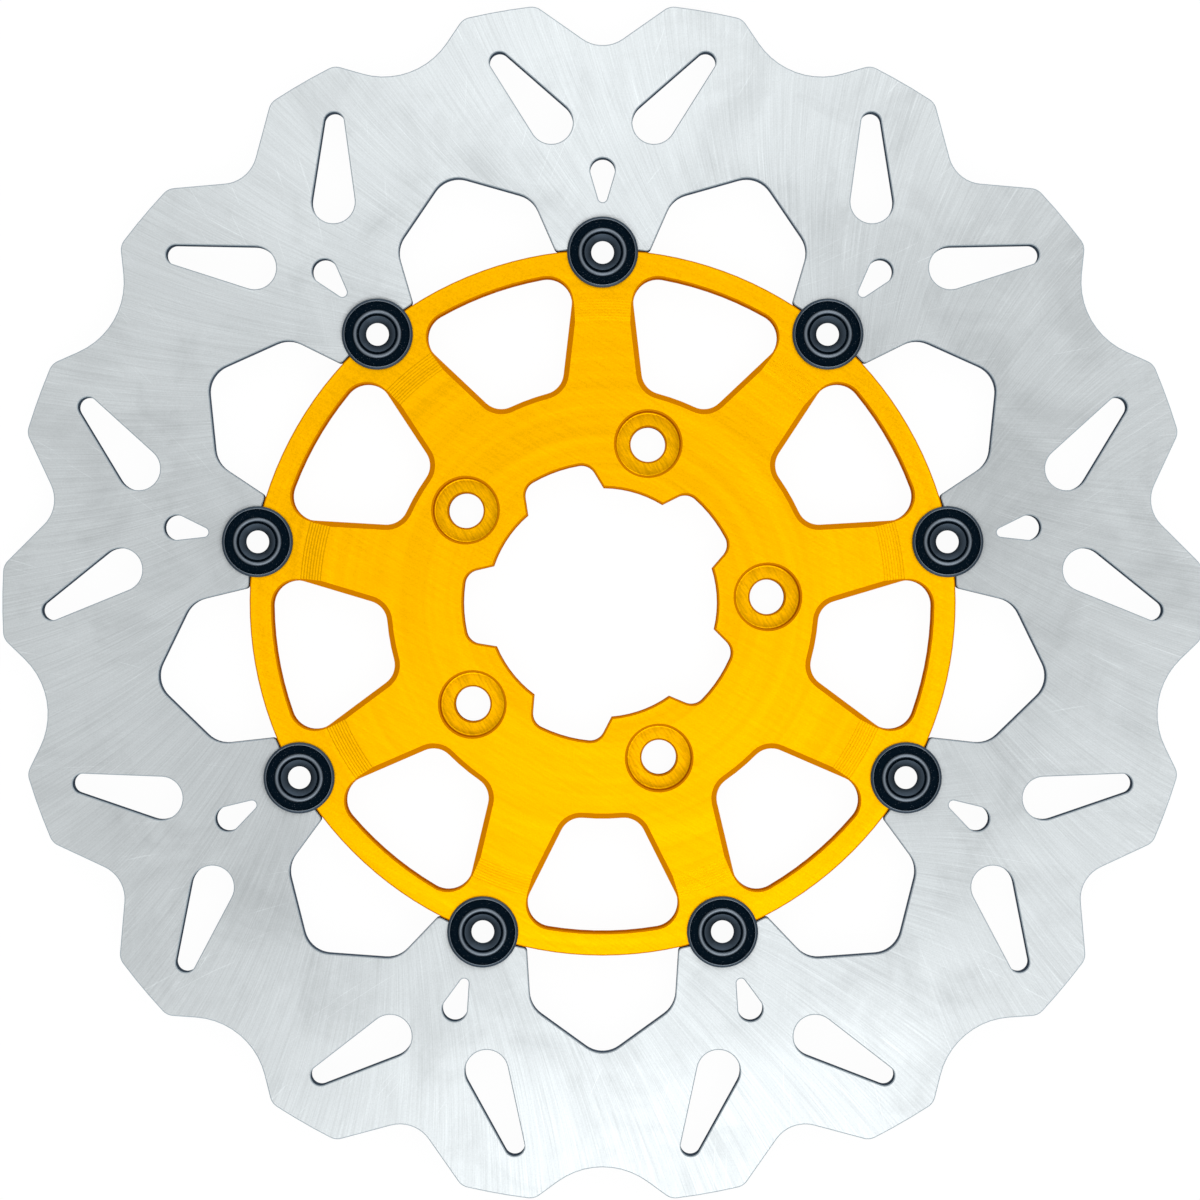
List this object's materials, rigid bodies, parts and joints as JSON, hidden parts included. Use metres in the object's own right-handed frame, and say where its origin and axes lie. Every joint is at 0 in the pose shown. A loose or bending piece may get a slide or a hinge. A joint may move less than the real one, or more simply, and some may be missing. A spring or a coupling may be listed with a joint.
{
  "type": "motorcycle floating brake disc rotor",
  "caption": "Full-floating brake disc rotor: slotted steel disc with a scalloped rim, carried by round black bobbins on a spoked gold hub.",
  "frame": {"origin": "centre of the hub's mounting face, on the wheel axis", "axes": "+Z along the wheel axis, from the mounting face to the bolt head side; +Y through station 1, a disc tab with its bobbin; +X to the right seen from the front"},
  "size_m": [0.3, 0.2978, 0.0103],
  "materials": {
    "ground_stainless": "fine ground, bright satin",
    "gold_anodised_aluminium": "satin gold anodised, turned",
    "black_anodised_bobbin": "black anodised, semi-gloss",
    "spring_steel": "bright spring steel",
    "zinc_plated_steel": "zinc plated",
    "phosphated_steel": "dark phosphated"
  },
  "bodies": {
    "carrier": {"carrier": "gold_anodised_aluminium"},
    "disc": {"brake_disc": "ground_stainless"},
    "bobbin_turn_1": {"bobbin_1": "black_anodised_bobbin", "spring_washer_1": "spring_steel", "flat_washer_1": "zinc_plated_steel", "retaining_ring_1": "phosphated_steel"},
    "bobbin_turn_2": {"bobbin_2": "black_anodised_bobbin", "spring_washer_2": "spring_steel", "flat_washer_2": "zinc_plated_steel", "retaining_ring_2": "phosphated_steel"},
    "bobbin_turn_3": {"bobbin_3": "black_anodised_bobbin", "spring_washer_3": "spring_steel", "flat_washer_3": "zinc_plated_steel", "retaining_ring_3": "phosphated_steel"},
    "bobbin_turn_4": {"bobbin_4": "black_anodised_bobbin", "spring_washer_4": "spring_steel", "flat_washer_4": "zinc_plated_steel", "retaining_ring_4": "phosphated_steel"},
    "bobbin_turn_5": {"bobbin_5": "black_anodised_bobbin", "spring_washer_5": "spring_steel", "flat_washer_5": "zinc_plated_steel", "retaining_ring_5": "phosphated_steel"},
    "bobbin_turn_6": {"bobbin_6": "black_anodised_bobbin", "spring_washer_6": "spring_steel", "flat_washer_6": "zinc_plated_steel", "retaining_ring_6": "phosphated_steel"},
    "bobbin_turn_7": {"bobbin_7": "black_anodised_bobbin", "spring_washer_7": "spring_steel", "flat_washer_7": "zinc_plated_steel", "retaining_ring_7": "phosphated_steel"},
    "bobbin_turn_8": {"bobbin_8": "black_anodised_bobbin", "spring_washer_8": "spring_steel", "flat_washer_8": "zinc_plated_steel", "retaining_ring_8": "phosphated_steel"},
    "bobbin_turn_9": {"bobbin_9": "black_anodised_bobbin", "spring_washer_9": "spring_steel", "flat_washer_9": "zinc_plated_steel", "retaining_ring_9": "phosphated_steel"}
  },
  "joints": [
    {"name": "disc_float", "type": "slide", "parent": "carrier", "child": "disc", "axis": [0, 0, 1], "range_m": [-0.0002, 0.0002]},
    {"name": "bobbin_spin_1", "type": "hinge", "parent": "carrier", "child": "bobbin_turn_1", "pos_m": [0, 0.0875, 0.005], "axis": [0, 0, 1], "continuous": true},
    {"name": "bobbin_spin_2", "type": "hinge", "parent": "carrier", "child": "bobbin_turn_2", "pos_m": [0.05624, 0.06703, 0.005], "axis": [0, 0, 1], "continuous": true},
    {"name": "bobbin_spin_3", "type": "hinge", "parent": "carrier", "child": "bobbin_turn_3", "pos_m": [0.08617, 0.01519, 0.005], "axis": [0, 0, 1], "continuous": true},
    {"name": "bobbin_spin_4", "type": "hinge", "parent": "carrier", "child": "bobbin_turn_4", "pos_m": [0.07578, -0.04375, 0.005], "axis": [0, 0, 1], "continuous": true},
    {"name": "bobbin_spin_5", "type": "hinge", "parent": "carrier", "child": "bobbin_turn_5", "pos_m": [0.02993, -0.08222, 0.005], "axis": [0, 0, 1], "continuous": true},
    {"name": "bobbin_spin_6", "type": "hinge", "parent": "carrier", "child": "bobbin_turn_6", "pos_m": [-0.02993, -0.08222, 0.005], "axis": [0, 0, 1], "continuous": true},
    {"name": "bobbin_spin_7", "type": "hinge", "parent": "carrier", "child": "bobbin_turn_7", "pos_m": [-0.07578, -0.04375, 0.005], "axis": [0, 0, 1], "continuous": true},
    {"name": "bobbin_spin_8", "type": "hinge", "parent": "carrier", "child": "bobbin_turn_8", "pos_m": [-0.08617, 0.01519, 0.005], "axis": [0, 0, 1], "continuous": true},
    {"name": "bobbin_spin_9", "type": "hinge", "parent": "carrier", "child": "bobbin_turn_9", "pos_m": [-0.05624, 0.06703, 0.005], "axis": [0, 0, 1], "continuous": true}
  ]
}
